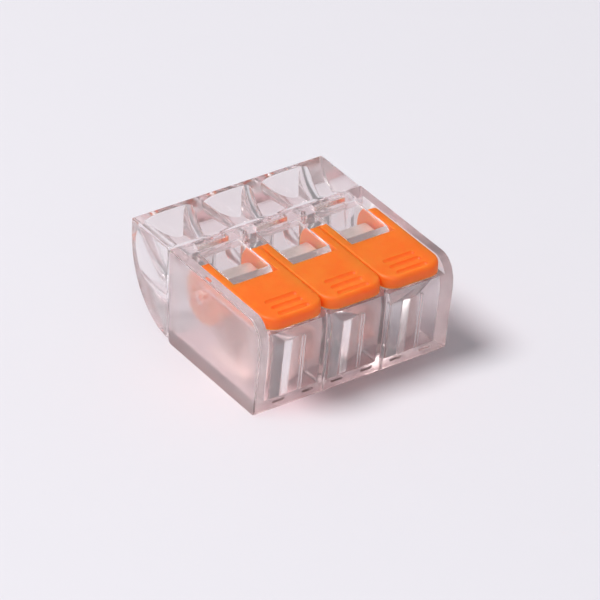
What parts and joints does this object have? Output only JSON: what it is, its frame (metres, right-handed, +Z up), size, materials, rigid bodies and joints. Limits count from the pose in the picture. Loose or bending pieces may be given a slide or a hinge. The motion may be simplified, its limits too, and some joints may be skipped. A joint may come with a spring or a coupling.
{
  "type": "lever wire connector",
  "caption": "Compact clear splicing connector with tilting levers that open spring clamps on to a common current bar.",
  "frame": {"origin": "middle of the footprint, on the surface that the connector stands on", "axes": "+X across the poles, -Y towards the wire entries, +Y towards the lever tips, +Z up through the levers"},
  "size_m": [0.0186, 0.019, 0.009],
  "materials": {
    "clear_housing": "clear moulded polycarbonate, polished",
    "orange_lever": "satin moulded nylon",
    "spring_steel": "bright rolled strip",
    "tinned_copper": "dull tin plating"
  },
  "bodies": {
    "housing": {"main_housing": "clear_housing", "entry_cover": "clear_housing", "busbar": "tinned_copper", "clamp_spring_1": "spring_steel", "clamp_spring_2": "spring_steel", "clamp_spring_3": "spring_steel"},
    "lever_1": {"lever_1": "orange_lever"},
    "lever_2": {"lever_2": "orange_lever"},
    "lever_3": {"lever_3": "orange_lever"},
    "clamp_leg_1": {"clamp_leg_1": "spring_steel"},
    "clamp_leg_2": {"clamp_leg_2": "spring_steel"},
    "clamp_leg_3": {"clamp_leg_3": "spring_steel"}
  },
  "joints": [
    {"name": "lever_1_swing", "type": "hinge", "parent": "housing", "child": "lever_1", "pos_m": [-0.00567, 0.0004, 0.00655], "axis": [1, 0, 0], "range_deg": [0, 90]},
    {"name": "lever_2_swing", "type": "hinge", "parent": "housing", "child": "lever_2", "pos_m": [0, 0.0004, 0.00655], "axis": [1, 0, 0], "range_deg": [0, 90]},
    {"name": "lever_3_swing", "type": "hinge", "parent": "housing", "child": "lever_3", "pos_m": [0.00567, 0.0004, 0.00655], "axis": [1, 0, 0], "range_deg": [0, 90]},
    {"name": "clamp_leg_1_flex", "type": "hinge", "parent": "housing", "child": "clamp_leg_1", "pos_m": [-0.00567, -0.00015, 0.0063], "axis": [1, 0, 0], "range_deg": [0, 30]},
    {"name": "clamp_leg_2_flex", "type": "hinge", "parent": "housing", "child": "clamp_leg_2", "pos_m": [0, -0.00015, 0.0063], "axis": [1, 0, 0], "range_deg": [0, 30]},
    {"name": "clamp_leg_3_flex", "type": "hinge", "parent": "housing", "child": "clamp_leg_3", "pos_m": [0.00567, -0.00015, 0.0063], "axis": [1, 0, 0], "range_deg": [0, 30]}
  ],
  "couplings": [
    {"joint": "clamp_leg_1_flex", "follows": "lever_1_swing", "ratio": 0.33333},
    {"joint": "clamp_leg_2_flex", "follows": "lever_2_swing", "ratio": 0.33333},
    {"joint": "clamp_leg_3_flex", "follows": "lever_3_swing", "ratio": 0.33333}
  ]
}
